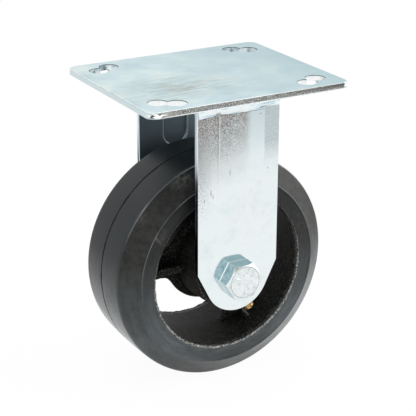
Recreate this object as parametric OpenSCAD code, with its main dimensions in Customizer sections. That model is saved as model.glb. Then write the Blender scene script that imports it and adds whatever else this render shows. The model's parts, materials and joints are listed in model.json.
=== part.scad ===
// Fixed castor: a flat top plate, a one-piece bent fork welded under it, and a spoked
// cast-iron wheel with a moulded-on rubber tyre, turning on a greased roller bearing.
// Origin: centre of the plate's top face. +Z is up, +X is the rolling direction,
// and the axle lies along Y. The bolt head is on the -Y side.

/* [Top plate] */
// Length of the plate along the rolling direction
plate_l = 116; // [108:0.1:150]
// Width of the plate along the axle
plate_w = 96.4; // [92:0.1:130]
// Thickness of the plate
plate_t = 3.4; // [2.5:0.1:8]
// Radius of the plate's corners
plate_r = 5; // [3:0.1:10]
// Distance of the outer lobes' centres from the plate's ends
outer_in_x = 11.95; // [9:0.05:14]
// Distance of the outer lobes' centres from the plate's sides
outer_in_y = 14.85; // [12:0.05:17]
// Distance of the inner lobes' centres from the plate's ends
inner_in_x = 19.9; // [17:0.05:21]
// Distance of the inner lobes' centres from the plate's sides
inner_in_y = 10.1; // [8:0.05:12]
// Diameter of each lobe of a bolt hole
bolt_hole_d = 10.4; // [9:0.1:11]

/* [Fork] */
// Height of the mounting face above the axle
axle_drop = 102.8; // [100:0.1:130]
// Width of the fork's strap along the rolling direction
leg_w = 48; // [44:0.5:56]
// Thickness of the fork's sheet
leg_t = 3.2; // [2.5:0.1:4.5]
// Inside radius of the bends under the plate
bend_r = 5.4; // [3:0.1:7]
// Height above the axle at which the legs start to narrow
shoulder_z = 5.5; // [0:0.5:8]
// Distance from the axle down to the end of a leg
leg_drop = 19; // [18:0.5:25]
// Radius of the rounded end of a leg
leg_end_r = 19; // [17:0.5:20]
// Width of the pocket pressed into each leg's inner face
pocket_w = 15; // [10:0.5:20]
// Depth of that pocket
pocket_deep = 1.2; // [0.5:0.1:1.8]
// Distance from the mounting face down to the pocket's round lower end
pocket_drop = 47.6; // [36:0.1:54]
// Width of the pad that the pocket raises on a leg's outer face
pad_w = 27.8; // [24:0.1:34]
// Height of that pad
pad_h = 0.4; // [0.2:0.1:0.9]
// Distance of each leg's pad and pocket from the leg's middle line, to the right of who faces it
press_off = 1.7; // [0:0.1:3]
// Width of a weld bead's foot on the plate
weld_foot = 3.4; // [2:0.1:5]
// Length over which the raised pad fades out at its lower end
pad_fade = 18; // [8:1:24]

/* [Axle] */
// Diameter of the axle bolt
bolt_d = 12.7; // [11:0.1:13]
// Height of the bolt head
head_h = 8; // [6:0.1:9]
// Length of the bolt's threaded end beyond the nut
bolt_tail = 5.5; // [2:0.1:12]
// Height of the lock nut
nut_h = 15.2; // [13:0.1:16]
// Height of the lock nut's round collar, which holds the nylon ring
collar_h = 3.6; // [3:0.1:5]
// Clearance between the bolt and the holes that it passes through
bolt_clear = 0.15; // [0.05:0.01:0.3]

/* [Bearing] */
// Wall thickness of the bearing sleeve on the bolt
sleeve_t = 3.025; // [2:0.025:4]
// Number of rollers
roller_n = 8; // [6:1:9]
// Diameter of a roller
roller_d = 5.475; // [4.5:0.025:6.5]
// Running clearance on each side of a roller
roller_clear = 0.04; // [0.02:0.01:0.08]
// Length by which the cage that spaces the rollers is shorter than the hub
cage_short = 4.8; // [2:0.1:8]
// Width of the closed ring at each end of the cage
cage_end = 2.25; // [1.5:0.05:5]
// Thickness of the cage's sheet
cage_t = 1.2; // [0.8:0.1:1.6]
// Clearance round a roller in its window of the cage
window_clear = 0.15; // [0.08:0.01:0.25]
// Outer diameter of the thrust washers beside the hub
washer_d = 36; // [32:0.5:40]
// Thickness of the thrust washers
washer_t = 2.8; // [1.5:0.1:4]
// End play between each thrust washer and the hub
end_play = 0.3; // [0.2:0.05:0.5]

/* [Wheel] */
// Radius of the wheel over the tyre
wheel_r = 63.5; // [62:0.1:66]
// Width of the wheel over the tyre's sides
wheel_w = 51.2; // [50:0.2:54]
// Width of the crowned tread
tread_w = 36; // [30:0.2:40]
// Height of the tread's crown at the middle of its width
crown_h = 0.5; // [0.3:0.1:1.5]
// Distance from the tread down to where the tyre's bevel meets its side
bevel_h = 11.2; // [7:0.1:13]
// Depth of the dish in the tyre's side at its inner edge
side_dish = 0.5; // [0.2:0.1:1]
// Thickness of rubber under the middle of the tread
tread_t = 13.9; // [13:0.1:18]
// Distance over which the rubber's lips cover the rim's ends
lip_h = 5.2; // [3:0.1:6]
// Thickness of rubber over the end faces of the rim
lip_t = 2.4; // [1.5:0.1:4]
// Thickness of the iron rim at the middle of its width
rim_t = 6.6; // [4:0.1:9]
// Distance by which each end of the hub stands out past the tyre's side
hub_proud = 2.2; // [0.6:0.1:3]
// Thickness of the hub's wall round the bearing at its ends
hub_wall = 5.12; // [4:0.02:8]
// Height of the web that stands out round the hub
web_h = 4.6; // [3:0.1:8]
// Thickness of the web and of the spokes' flanges
web_t = 4.6; // [3.5:0.1:7]
// Number of spokes
spoke_n = 3; // [3:1:4]
// Width of a spoke's flange
spoke_w = 15.2; // [12:0.2:18]
// Thickness of the rib along each spoke
rib_t = 4.2; // [3:0.1:6]
// Width of that rib, along the axle
rib_w = 22; // [16:0.5:26]
// Radius of the fillets between the hub's web and a spoke, as a share of the spoke's length
hub_fillet_share = 0.44; // [0.2:0.01:0.5]
// Radius of the fillets between a spoke and the rim, as a share of the spoke's length
rim_fillet_share = 0.33; // [0.15:0.01:0.4]

/* [Grease fitting] */
// Distance of the fitting's axis from the end of the hub
fitting_in = 5.8; // [5:0.1:10]
// Size of the fitting's hexagon across the flats
fitting_af = 7.9; // [7:0.1:9]
// Diameter of the fitting's threaded shank
fitting_thread_d = 6.35; // [5.5:0.05:7]
// Height of the fitting above the hub
fitting_h = 9; // [8.5:0.1:11]
// Diameter of the check ball
ball_d = 2.4; // [2:0.1:2.6]

/* [Hidden] */
$fn = 96;
eps = 0.01;
zinc = "#cfdde2";
zinc_dark = "#93a6ab";
iron = "#26282a";
rubber = "#44484b";
brass = "#c8913c";
steel = "#a9adb0";
nylon = "#e9ead9";

// The two bolt patterns of the double holes
wide_x = plate_l - 2 * outer_in_x;
wide_y = plate_w - 2 * outer_in_y;
square_x = plate_l - 2 * inner_in_x;
square_y = plate_w - 2 * inner_in_y;

// Levels along Z and faces along Y that the pieces share, from the wheel outwards
axle_z = -axle_drop;
plate_under = -plate_t;
hub_l = wheel_w + 2 * hub_proud;
inner_y = hub_l / 2 + end_play + washer_t;
outer_y = inner_y + leg_t;
fork_gap = 2 * inner_y;
bend_out_r = bend_r + leg_t;
bend_y = inner_y - bend_r;
bend_z = plate_under - bend_out_r;
leg_hw = leg_w / 2;
bolt_hole_r = bolt_d / 2 + bolt_clear;
weld_l = leg_w - 1.6;
pocket_z = axle_drop - pocket_drop;

// Hexagons and lengths that follow from the bolt's diameter and what it holds
hex_af = 1.5 * bolt_d;
bolt_len = 2 * outer_y + nut_h + bolt_tail;

// A leg's side runs from its shoulder along a straight taper that is tangent to the round end
end_z = leg_end_r - leg_drop;
taper_dx = leg_hw;
taper_dz = shoulder_z - end_z;
taper_len = norm([taper_dx, taper_dz]);
taper_angle = atan2(taper_dz, taper_dx) - acos(leg_end_r / taper_len);
taper_x = leg_end_r * cos(taper_angle);
taper_z = end_z + leg_end_r * sin(taper_angle);

// The bearing, from the bolt outwards: sleeve, rollers in their cage, and the hub's bore
inner_race_r = bolt_hole_r + sleeve_t;
sleeve_d = 2 * inner_race_r;
roller_r = roller_d / 2;
pitch_r = inner_race_r + roller_clear + roller_r;
outer_race_r = pitch_r + roller_r + roller_clear;
cage_l = hub_l - cage_short;
window_w = roller_d + 2 * window_clear;
window_l = cage_l - 2 * cage_end;
roller_l = window_l - 2 * window_clear;

// Radii of the wheel, from the tread inwards to the rim and from the bore outwards to the web
rim_r = wheel_r - tread_t;
rim_in_r = rim_r - rim_t;
opening_r = rim_r - lip_h;
bevel_r = wheel_r - bevel_h;
rim_half = wheel_w / 2 - side_dish - lip_t;
hub_r = outer_race_r + hub_wall;
hub_mid_r = hub_r + 1;
web_r = hub_r + web_h;
hub_fillet = hub_fillet_share * (rim_in_r - web_r);
rim_fillet = rim_fillet_share * (rim_in_r - web_r);
spoke_step = 360 / spoke_n;
spoke_first = 180;

// The fitting is screwed radially into the hub at the first spoke's neighbour
fitting_angle = spoke_first + spoke_step;
fitting_y = hub_l / 2 - fitting_in;
fitting_seat_r = hub_mid_r - 0.1;
fitting_tip_r = fitting_seat_r + fitting_h;
fitting_root_r = outer_race_r + 1.2;
nipple_d = 6.4;
neck_d = 4.8;
hex_h = 3.4;
ball_hole_d = ball_d - 0.8;
duct_d = ball_d + 0.3;
ball_r = ball_d / 2;
ball_seat_drop = sqrt(ball_r * ball_r - pow(ball_hole_d / 2, 2));
ball_lip = 0.7;
ball_at = fitting_tip_r - ball_lip - ball_seat_drop;
spring_wire = 0.3;
spring_d = duct_d - 0.5;
spring_turns = 5;
turn_steps = 12;
wire_sides = 5;
duct_lip_d = duct_d - 0.9;
duct_lip_h = 0.6;
spring_z = fitting_root_r + duct_lip_h + spring_wire / 2 + 0.05;
spring_reach = sqrt(pow(ball_r + spring_wire / 2, 2) - pow(spring_d / 2 - spring_wire / 2, 2));
spring_len = ball_at - spring_z - spring_reach - 0.05;

module at_axle() {
    translate([0, 0, axle_z])
        children();
}

// Turn a shape drawn round Z so that it lies round the axle, its +Z towards +Y
module along_axle() {
    rotate([-90, 0, 0])
        children();
}

// Repeat a shape at each spoke. Angles run from +X towards +Z.
module at_spokes() {
    for (i = [0:spoke_n - 1])
        rotate([0, -(spoke_first + i * spoke_step), 0])
            children();
}

// Two overlapping round holes, one for each of the two bolt patterns
module double_hole(sx, sy) {
    for (p = [[wide_x, wide_y], [square_x, square_y]])
        translate([sx * p[0] / 2, sy * p[1] / 2, plate_under - 1])
            cylinder(h = plate_t + 2, d = bolt_hole_d);
}

module top_plate() {
    color(zinc)
        difference() {
            translate([0, 0, plate_under])
                linear_extrude(plate_t)
                    union() {
                        square([plate_l, plate_w - 2 * plate_r], center = true);
                        square([plate_l - 2 * plate_r, plate_w], center = true);
                        for (sx = [-1, 1], sy = [-1, 1])
                            translate([sx * (plate_l / 2 - plate_r), sy * (plate_w / 2 - plate_r)])
                                circle(r = plate_r);
                    }
            for (sx = [-1, 1], sy = [-1, 1])
                double_hole(sx, sy);
        }
}

// Outline of a leg seen along the axle: straight sides, tapers and a round end
module leg_outline() {
    polygon([
        [-leg_hw, axle_drop], [-leg_hw, shoulder_z], [-taper_x, taper_z],
        [taper_x, taper_z], [leg_hw, shoulder_z], [leg_hw, axle_drop]
    ]);
    translate([0, end_z])
        circle(r = leg_end_r);
}

// Section of the strap across the rolling direction: an upside-down U with round bends
module strap_section() {
    difference() {
        strap_block(outer_y, bend_out_r, plate_under);
        strap_block(inner_y, bend_r, plate_under - leg_t);
    }
}

module strap_block(half, radius, top) {
    low = axle_z - leg_drop - 5;
    translate([-half, low])
        square([2 * half, top - radius - low]);
    translate([radius - half, low])
        square([2 * (half - radius), top - low]);
    for (s = [-1, 1])
        translate([s * (half - radius), top - radius])
            circle(r = radius);
}

// The pocket's outline seen along the axle: straight sides, a round end below and one above
module pocket_outline(w) {
    low = pocket_z + pocket_w / 2;
    high = axle_drop + bend_z - pocket_w / 2;
    translate([-w / 2, low])
        square([w, high - low]);
    for (z = [low, high])
        translate([0, z])
            circle(d = w);
}

// The low pad on a leg's outer face, with short sloping sides down to the leg
module pad_section() {
    slope = 1.6 * pad_h;
    polygon([
        [-pad_w / 2, -eps], [slope - pad_w / 2, pad_h], [pad_w / 2 - slope, pad_h], [pad_w / 2, -eps]
    ]);
}

module fork() {
    color(zinc)
        difference() {
            union() {
                intersection() {
                    translate([-leg_hw - 1, 0, 0])
                        rotate([90, 0, 90])
                            linear_extrude(leg_w + 2)
                                strap_section();
                    at_axle()
                        rotate([90, 0, 0])
                            linear_extrude(2 * outer_y + 2, center = true)
                                leg_outline();
                }
                for (s = [0, 180])
                    rotate([0, 0, s])
                        leg_pad();
            }
            for (s = [0, 180])
                rotate([0, 0, s])
                    translate([press_off, -inner_y + eps, axle_z])
                        rotate([90, 0, 0])
                            linear_extrude(pocket_deep + eps)
                                pocket_outline(pocket_w);
            at_axle()
                along_axle()
                    cylinder(h = 2 * outer_y + 2, r = bolt_hole_r, center = true);
        }
}

// A leg's pad keeps its section up to the bend, and fades into the leg towards its lower end
module leg_pad() {
    low = axle_z + pocket_z;
    intersection() {
        translate([press_off, -outer_y, low])
            rotate([0, 0, 180])
                linear_extrude(bend_z - low)
                    pad_section();
        translate([press_off - pad_w / 2 - 1, -outer_y, low])
            rotate([90, 0, 90])
                linear_extrude(pad_w + 2)
                    polygon([
                        [eps, -eps], [-eps, -eps], [-pad_h - eps, pad_fade],
                        [-pad_h - eps, bend_z - low + 1], [eps, bend_z - low + 1]
                    ]);
    }
}

// A weld fills the groove between the plate and the outside of a bend
module weld_bead() {
    toe_z = bend_z + 1;
    root_y = bend_y + bend_out_r * 0.55;
    color(zinc)
        translate([-weld_l / 2, 0, 0])
            rotate([90, 0, 90])
                linear_extrude(weld_l)
                    difference() {
                        polygon([
                            [root_y, plate_under],
                            [outer_y + weld_foot, plate_under],
                            [outer_y + weld_foot * 0.86, plate_under - bend_out_r * 0.28],
                            [outer_y + weld_foot * 0.5, plate_under - bend_out_r * 0.64],
                            [outer_y + weld_foot * 0.12, toe_z + 0.3],
                            [outer_y - 0.2, toe_z],
                            [bend_y, bend_z],
                            [root_y, bend_z + bend_out_r * 0.6]
                        ]);
                        translate([bend_y, bend_z])
                            circle(r = bend_out_r);
                    }
}

module weld_bead_near() {
    mirror([0, 1, 0])
        weld_bead();
}

module weld_bead_far() {
    weld_bead();
}

// A hexagon with its corners cut back by a cone, its base on the XY plane
module hex_head(af, h, chamfer) {
    corner_r = af / sqrt(3);
    intersection() {
        cylinder(h = h, r = corner_r, $fn = 6);
        union() {
            cylinder(h = h - chamfer, r = corner_r + 1);
            translate([0, 0, h - chamfer])
                cylinder(h = chamfer, r1 = corner_r + chamfer * 0.15, r2 = af / 2 - 0.35);
        }
    }
}

// The bolt passes through both legs and the bearing sleeve
module axle_bolt() {
    color(zinc_dark)
        at_axle()
            along_axle()
                translate([0, 0, -outer_y]) {
                    rotate([180, 0, 0])
                        hex_head(hex_af, head_h, 1.5);
                    cylinder(h = bolt_len - 1.2, d = bolt_d);
                    translate([0, 0, bolt_len - 1.2])
                        cylinder(h = 1.2, d1 = bolt_d, d2 = bolt_d - 2.4);
                }
}

module lock_nut() {
    hex_h1 = nut_h - collar_h;
    collar_d = hex_af - 1.4;
    color(zinc)
        at_axle()
            along_axle()
                translate([0, 0, outer_y])
                    difference() {
                        union() {
                            hex_head(hex_af, hex_h1, 1.1);
                            cylinder(h = nut_h, d = collar_d);
                        }
                        translate([0, 0, -1])
                            cylinder(h = nut_h + 2, d = bolt_d + 2 * bolt_clear);
                        translate([0, 0, nut_h - collar_h - 0.4])
                            cylinder(h = collar_h - 0.4, d = collar_d - 2.4);
                    }
}

// The nylon ring sits in a groove inside the nut's collar and grips the thread
module nut_insert() {
    collar_d = hex_af - 1.4;
    color(nylon)
        at_axle()
            along_axle()
                translate([0, 0, outer_y + nut_h - collar_h - 0.4])
                    difference() {
                        cylinder(h = collar_h - 0.4, d = collar_d - 2.4);
                        translate([0, 0, -1])
                            cylinder(h = collar_h + 1, d = bolt_d + bolt_clear);
                    }
}

// The sleeve spans the fork, so that the tightened bolt clamps it and not the hub
module bearing_sleeve() {
    color(steel)
        at_axle()
            along_axle()
                difference() {
                    cylinder(h = fork_gap, d = sleeve_d, center = true);
                    cylinder(h = fork_gap + 2, r = bolt_hole_r, center = true);
                }
}

module thrust_washer() {
    color(steel)
        at_axle()
            along_axle()
                translate([0, 0, inner_y - washer_t])
                    difference() {
                        cylinder(h = washer_t, d = washer_d);
                        translate([0, 0, -1])
                            cylinder(h = washer_t + 2, d = sleeve_d + 2 * bolt_clear);
                    }
}

module thrust_washer_near() {
    mirror([0, 1, 0])
        thrust_washer();
}

module thrust_washer_far() {
    thrust_washer();
}

// Half section of the hub, the web round it and the rim, drawn as radius and place along Y
module core_section() {
    half = hub_l / 2;
    web_half = web_t / 2;
    polygon([
        [outer_race_r, -half], [hub_r - 0.8, -half], [hub_r, -half + 0.8],
        [hub_mid_r, -web_half - 2.4], [hub_mid_r + 1.6, -web_half - 0.5], [web_r - 0.8, -web_half],
        [web_r, -web_half + 0.9], [web_r, web_half - 0.9],
        [web_r - 0.8, web_half], [hub_mid_r + 1.6, web_half + 0.5], [hub_mid_r, web_half + 2.4],
        [hub_r, half - 0.8], [hub_r - 0.8, half], [outer_race_r, half]
    ]);
    polygon([
        [opening_r - 0.4, -rim_half], [rim_r, -rim_half], [rim_r, rim_half],
        [opening_r - 0.4, rim_half], [rim_in_r, web_half], [rim_in_r, -web_half]
    ]);
}

// One spoke's flange in the plane of the wheel, with round fillets into the web and the rim
module spoke_flange() {
    hw = spoke_w / 2;
    hub_c = hub_fillet + hw;
    hub_c_r = web_r + hub_fillet;
    hub_c_x = sqrt(hub_c_r * hub_c_r - hub_c * hub_c);
    rim_c = rim_fillet + hw;
    rim_c_r = rim_in_r - rim_fillet;
    rim_c_x = sqrt(rim_c_r * rim_c_r - rim_c * rim_c);
    difference() {
        polygon([
            [web_r * hub_c_x / hub_c_r - 2, -web_r * hub_c / hub_c_r],
            [web_r * hub_c_x / hub_c_r, -web_r * hub_c / hub_c_r],
            [hub_c_x, -hub_c], [rim_c_x, -rim_c],
            [rim_in_r * rim_c_x / rim_c_r, -rim_in_r * rim_c / rim_c_r],
            [rim_in_r + 2, 0],
            [rim_in_r * rim_c_x / rim_c_r, rim_in_r * rim_c / rim_c_r],
            [rim_c_x, rim_c], [hub_c_x, hub_c],
            [web_r * hub_c_x / hub_c_r, web_r * hub_c / hub_c_r],
            [web_r * hub_c_x / hub_c_r - 2, web_r * hub_c / hub_c_r]
        ]);
        for (s = [-1, 1]) {
            translate([hub_c_x, s * hub_c])
                circle(r = hub_fillet);
            translate([rim_c_x, s * rim_c])
                circle(r = rim_fillet);
        }
        for (s = [0, 1])
            mirror([0, s])
                translate([hub_c_x, hw])
                    square([rim_c_x - hub_c_x, hub_c + rim_c]);
    }
}

// The rib along a spoke: thickest at its root on the flange, with draft towards its edges
module spoke_rib() {
    start = hub_r - 1;
    rib_h = rib_w / 2;
    translate([start, 0, 0])
        rotate([90, 0, 90])
            linear_extrude(rim_in_r + 1 - start)
                polygon([
                    [-rib_t / 2 - 0.5, 0], [-rib_t / 2, -rib_h + 0.6], [-rib_t / 2 + 0.6, -rib_h],
                    [rib_t / 2 - 0.6, -rib_h], [rib_t / 2, -rib_h + 0.6], [rib_t / 2 + 0.5, 0],
                    [rib_t / 2, rib_h - 0.6], [rib_t / 2 - 0.6, rib_h],
                    [-rib_t / 2 + 0.6, rib_h], [-rib_t / 2, rib_h - 0.6]
                ]);
}

module wheel_core() {
    color(iron)
        at_axle()
            difference() {
                union() {
                    along_axle()
                        rotate_extrude($fn = 144)
                            core_section();
                    at_spokes() {
                        rotate([90, 0, 0])
                            linear_extrude(web_t, center = true)
                                spoke_flange();
                        rotate([90, 0, 0])
                            spoke_rib();
                    }
                    fitting_boss();
                }
                along_axle()
                    cylinder(h = hub_l + 2, r = outer_race_r, center = true);
                at_fitting()
                    cylinder(h = fitting_seat_r + 1, d = fitting_thread_d + 0.1);
            }
}

// Place a shape drawn along +Z on the fitting's axis, its origin on the wheel's axis
module at_fitting() {
    translate([0, -fitting_y, 0])
        rotate([0, 90 - fitting_angle, 0])
            children();
}

// A flat spot on the hub that the fitting is screwed down on
module fitting_boss() {
    at_fitting()
        translate([0, 0, outer_race_r + 1])
            cylinder(h = fitting_seat_r - outer_race_r - 1, d = fitting_af + 2);
}

// Half section of the tyre: crowned tread, bevels, dished sides and lips over the rim's ends
module tyre_section() {
    half = wheel_w / 2;
    edge_r = wheel_r - crown_h;
    edge_y = tread_w / 2;
    steps = 8;
    polygon(concat(
        [for (i = [-steps:steps])
            [wheel_r - crown_h * pow(i / steps, 2), edge_y * i / steps]],
        [[edge_r - 0.8, edge_y + 0.8], [bevel_r + 0.5, half - 0.2], [bevel_r - 0.6, half],
         [opening_r + 0.9, half - side_dish], [opening_r, half - side_dish - 0.7],
         [opening_r, rim_half], [rim_r, rim_half], [rim_r, -rim_half], [opening_r, -rim_half],
         [opening_r, side_dish + 0.7 - half], [opening_r + 0.9, side_dish - half],
         [bevel_r - 0.6, -half], [bevel_r + 0.5, 0.2 - half], [edge_r - 0.8, -edge_y - 0.8]]
    ));
}

module rubber_tyre() {
    color(rubber)
        at_axle()
            along_axle()
                rotate_extrude($fn = 144)
                    tyre_section();
}

// The fitting's body: threaded shank, hexagon, neck and nipple, bored for the ball and spring
module grease_fitting() {
    color(brass)
        at_axle()
            at_fitting()
                difference() {
                    union() {
                        translate([0, 0, fitting_root_r])
                            cylinder(h = fitting_seat_r - fitting_root_r + eps, d = fitting_thread_d);
                        translate([0, 0, fitting_seat_r])
                            hex_head(fitting_af, hex_h, 0.5);
                        translate([0, 0, fitting_seat_r + hex_h - eps])
                            cylinder(h = fitting_tip_r - fitting_seat_r - hex_h - 2, d = neck_d);
                        translate([0, 0, fitting_tip_r - 3.6])
                            cylinder(h = 1, d1 = neck_d, d2 = nipple_d);
                        translate([0, 0, fitting_tip_r - 2.6])
                            cylinder(h = 1.4, d = nipple_d);
                        translate([0, 0, fitting_tip_r - 1.2])
                            cylinder(h = 1.2, d1 = nipple_d, d2 = nipple_d - 2.4);
                    }
                    translate([0, 0, fitting_root_r - 1])
                        cylinder(h = duct_lip_h + 2, d = duct_lip_d);
                    translate([0, 0, fitting_root_r + duct_lip_h])
                        cylinder(h = ball_at - fitting_root_r - duct_lip_h, d = duct_d);
                    translate([0, 0, ball_at])
                        sphere(r = ball_r + 0.1, $fn = 48);
                    translate([0, 0, ball_at])
                        cylinder(h = fitting_tip_r - ball_at + 1, d = ball_hole_d);
                }
}

module check_ball() {
    color(steel)
        at_axle()
            at_fitting()
                translate([0, 0, ball_at])
                    sphere(r = ball_r, $fn = 48);
}

// One ring of points round the spring's wire, where the coil has turned by the angle a
function wire_ring(a) = let (r = spring_d / 2 - spring_wire / 2, z = spring_len * a / (360 * spring_turns))
    [for (j = [0:wire_sides - 1])
        let (b = j * 360 / wire_sides, q = r + spring_wire / 2 * cos(b))
            [q * cos(a), q * sin(a), z + spring_wire / 2 * sin(b)]];

// The coil that holds the ball on its seat, its wire swept along a helix
module check_spring() {
    rings = spring_turns * turn_steps;
    points = [for (k = [0:rings]) each wire_ring(k * 360 / turn_steps)];
    sides = [for (k = [0:rings - 1], j = [0:wire_sides - 1])
        let (a = k * wire_sides + j, b = k * wire_sides + (j + 1) % wire_sides)
            each [[a, b, b + wire_sides], [a, b + wire_sides, a + wire_sides]]];
    color(steel)
        at_axle()
            at_fitting()
                translate([0, 0, spring_z])
                    polyhedron(
                        points = points,
                        faces = concat(
                            sides,
                            [[for (j = [wire_sides - 1:-1:0]) j]],
                            [[for (j = [0:wire_sides - 1]) rings * wire_sides + j]]
                        )
                    );
}

// The cage is a rolled tube with one window for each roller
module roller_cage() {
    color(steel)
        at_axle()
            along_axle()
                difference() {
                    cylinder(h = cage_l, r = pitch_r + cage_t / 2, center = true);
                    cylinder(h = cage_l + 2, r = pitch_r - cage_t / 2, center = true);
                    for (i = [0:roller_n - 1])
                        rotate([0, 0, i * 360 / roller_n])
                            translate([pitch_r, 0, 0])
                                cube([cage_t * 3, window_w, window_l], center = true);
                }
}

module roller(i) {
    color(steel)
        at_axle()
            along_axle()
                rotate([0, 0, (i - 1) * 360 / roller_n])
                    translate([pitch_r, 0, 0]) {
                        cylinder(h = roller_l - 1, r = roller_r, center = true);
                        for (s = [0, 1])
                            mirror([0, 0, s])
                                translate([0, 0, roller_l / 2 - 0.5])
                                    cylinder(h = 0.5, r1 = roller_r, r2 = roller_r - 0.5);
                    }
}

top_plate();
fork();
weld_bead_near();
weld_bead_far();
axle_bolt();
lock_nut();
nut_insert();
bearing_sleeve();
thrust_washer_near();
thrust_washer_far();
wheel_core();
rubber_tyre();
grease_fitting();
check_ball();
check_spring();
roller_cage();
for (i = [1:roller_n]) roller(i);
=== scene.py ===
# %% [markdown]
# # A fixed castor in Blender
# A fixed castor is a wheel that rolls one way only. A flat steel plate is bolted under the
# load, a bent steel strap hangs from it as a fork, and a cast-iron wheel with a rubber tyre
# turns on a roller bearing round one thick bolt.
#
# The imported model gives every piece's place and size. This lesson gives the pieces the look
# of their real finishes, and models again the few whose shape needs more than flat CAD
# faces: worn sheet edges, weld metal, a thread, a sand casting and moulded rubber.

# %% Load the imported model
import json
import math
from functools import partial
import bmesh
import bpy
from mathutils import Matrix, Vector, noise


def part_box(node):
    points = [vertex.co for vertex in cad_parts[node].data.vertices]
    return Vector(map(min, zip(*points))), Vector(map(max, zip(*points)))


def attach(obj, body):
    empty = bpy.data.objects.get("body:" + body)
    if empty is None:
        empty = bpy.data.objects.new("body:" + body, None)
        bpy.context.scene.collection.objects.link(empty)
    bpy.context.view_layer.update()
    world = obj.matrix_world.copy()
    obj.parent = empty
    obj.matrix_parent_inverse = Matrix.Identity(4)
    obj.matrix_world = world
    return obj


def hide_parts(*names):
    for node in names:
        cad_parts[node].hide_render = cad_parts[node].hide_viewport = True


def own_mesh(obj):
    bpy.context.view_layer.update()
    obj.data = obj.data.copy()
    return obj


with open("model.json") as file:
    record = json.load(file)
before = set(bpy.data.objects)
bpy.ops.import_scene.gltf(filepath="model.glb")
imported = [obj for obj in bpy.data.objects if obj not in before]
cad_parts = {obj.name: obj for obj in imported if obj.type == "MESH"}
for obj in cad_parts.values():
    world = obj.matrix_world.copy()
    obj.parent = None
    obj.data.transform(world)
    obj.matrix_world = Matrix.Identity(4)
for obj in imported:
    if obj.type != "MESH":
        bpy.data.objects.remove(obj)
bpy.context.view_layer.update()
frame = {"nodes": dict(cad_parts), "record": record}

# %% [markdown]
# ## Measures
# Blender works in metres, and a castor's drawing in millimetres, so one value turns one
# into the other. The axle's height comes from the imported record, because the wheel's joint
# turns about it. The origin is the centre of the plate's top face, and the axle lies along Y.

# %% Measures shared by the pieces
MM = 0.001
joints = {j["name"]: j for j in frame["record"]["behaviour"]["joints"]}
axle = Vector(joints["wheel_spin"]["pos_m"])
plate_lo, plate_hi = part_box("top_plate")
tyre_lo, tyre_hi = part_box("rubber_tyre")
floor_z = tyre_lo.z
strap = 3.2 * MM
leg_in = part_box("bearing_sleeve")[1].y
leg_out = leg_in + strap
head_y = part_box("axle_bolt")[0].y
print("axle at z", round(axle.z / MM, 1), "mm, leg's outer face at", round(leg_out / MM, 1))

# %% [markdown]
# ## Colours and nodes
# Colours are written as the sRGB hex values that a screen shows, and Cycles wants linear
# light, so one function turns them. One more small function adds a shader node. It fills the
# inputs in the order in which the editor shows them: a noise takes its place, scale, detail
# and roughness, a Map Range its value, the range it comes from and the range it goes to, and
# a mix its factor and two colours. A number or hex code is set, and a node is linked by its
# first output. The word after the node's kind is the choice in its menu.

# %% Colour and node helpers
def colour(code):
    """Linear RGBA from an sRGB hex code."""
    parts = [int(code[i:i + 2], 16) / 255 for i in (1, 3, 5)]
    return tuple(p / 12.92 if p <= 0.04045 else ((p + 0.055) / 1.055) ** 2.4 for p in parts) + (1,)


def per_mm(size):
    """Scale of a noise whose features are this many millimetres wide."""
    return 1 / (size * MM)


# What the menu of each kind of node chooses
MENUS = {"Math": "operation", "VectorMath": "operation", "Mix": "data_type",
         "TexGradient": "gradient_type", "MapRange": "interpolation_type", "Mapping": "vector_type"}


def first_output(node):
    """The first output that the node shows."""
    return next(output for output in node.outputs if output.enabled)


def add_node(owner, kind, *inputs, stops=(), **named):
    """Adds one node. A name with a capital is an input, any other one of the node's options."""
    kind, _, choice = kind.partition(" ")
    node = owner.node_tree.nodes.new("ShaderNode" + kind)
    options = {MENUS[kind]: choice} if choice else {}
    options.update((name, value) for name, value in named.items() if name[0].islower())
    for name, value in options.items():
        setattr(node, name, value)
    filled = list(zip([socket for socket in node.inputs if socket.enabled], inputs))
    filled += [(node.inputs[name.replace("_", " ")], value)
               for name, value in named.items() if name[0].isupper()]
    for socket, value in filled:
        if isinstance(value, bpy.types.Node):
            value = first_output(value)
        if isinstance(value, bpy.types.NodeSocket):
            owner.node_tree.links.new(value, socket)
        else:
            socket.default_value = colour(value) if isinstance(value, str) else value
    for i, (place, code) in enumerate(stops):
        ramp = node.color_ramp.elements
        stop = ramp[i] if i < 2 else ramp.new(place)
        stop.position = place
        stop.color = colour(code)
    return node


def blank(owner):
    """Empties the node tree of a material or world, and returns what adds nodes to it."""
    owner.use_nodes = True
    owner.node_tree.nodes.clear()
    return partial(add_node, owner)


def new_material(name, **fixed):
    """A material with one Principled shader, whose plain values are set on its own sockets.

    It comes with what adds its nodes, and with the object coordinates that patterns read.
    """
    mat = bpy.data.materials.new(name)
    add = blank(mat)
    add("OutputMaterial", add("BsdfPrincipled", **fixed))
    return mat, add, add("TexCoord").outputs["Object"]


def connect(mat, **sockets):
    """Links nodes to the named sockets of the material's shader."""
    shader = mat.node_tree.nodes["Principled BSDF"]
    for name, node in sockets.items():
        mat.node_tree.links.new(first_output(node), shader.inputs[name.replace("_", " ")])
    print(mat.name, "has", len(mat.node_tree.nodes), "nodes")


print("a mid grey in linear light:", [round(v, 3) for v in colour("#808080")])
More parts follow.
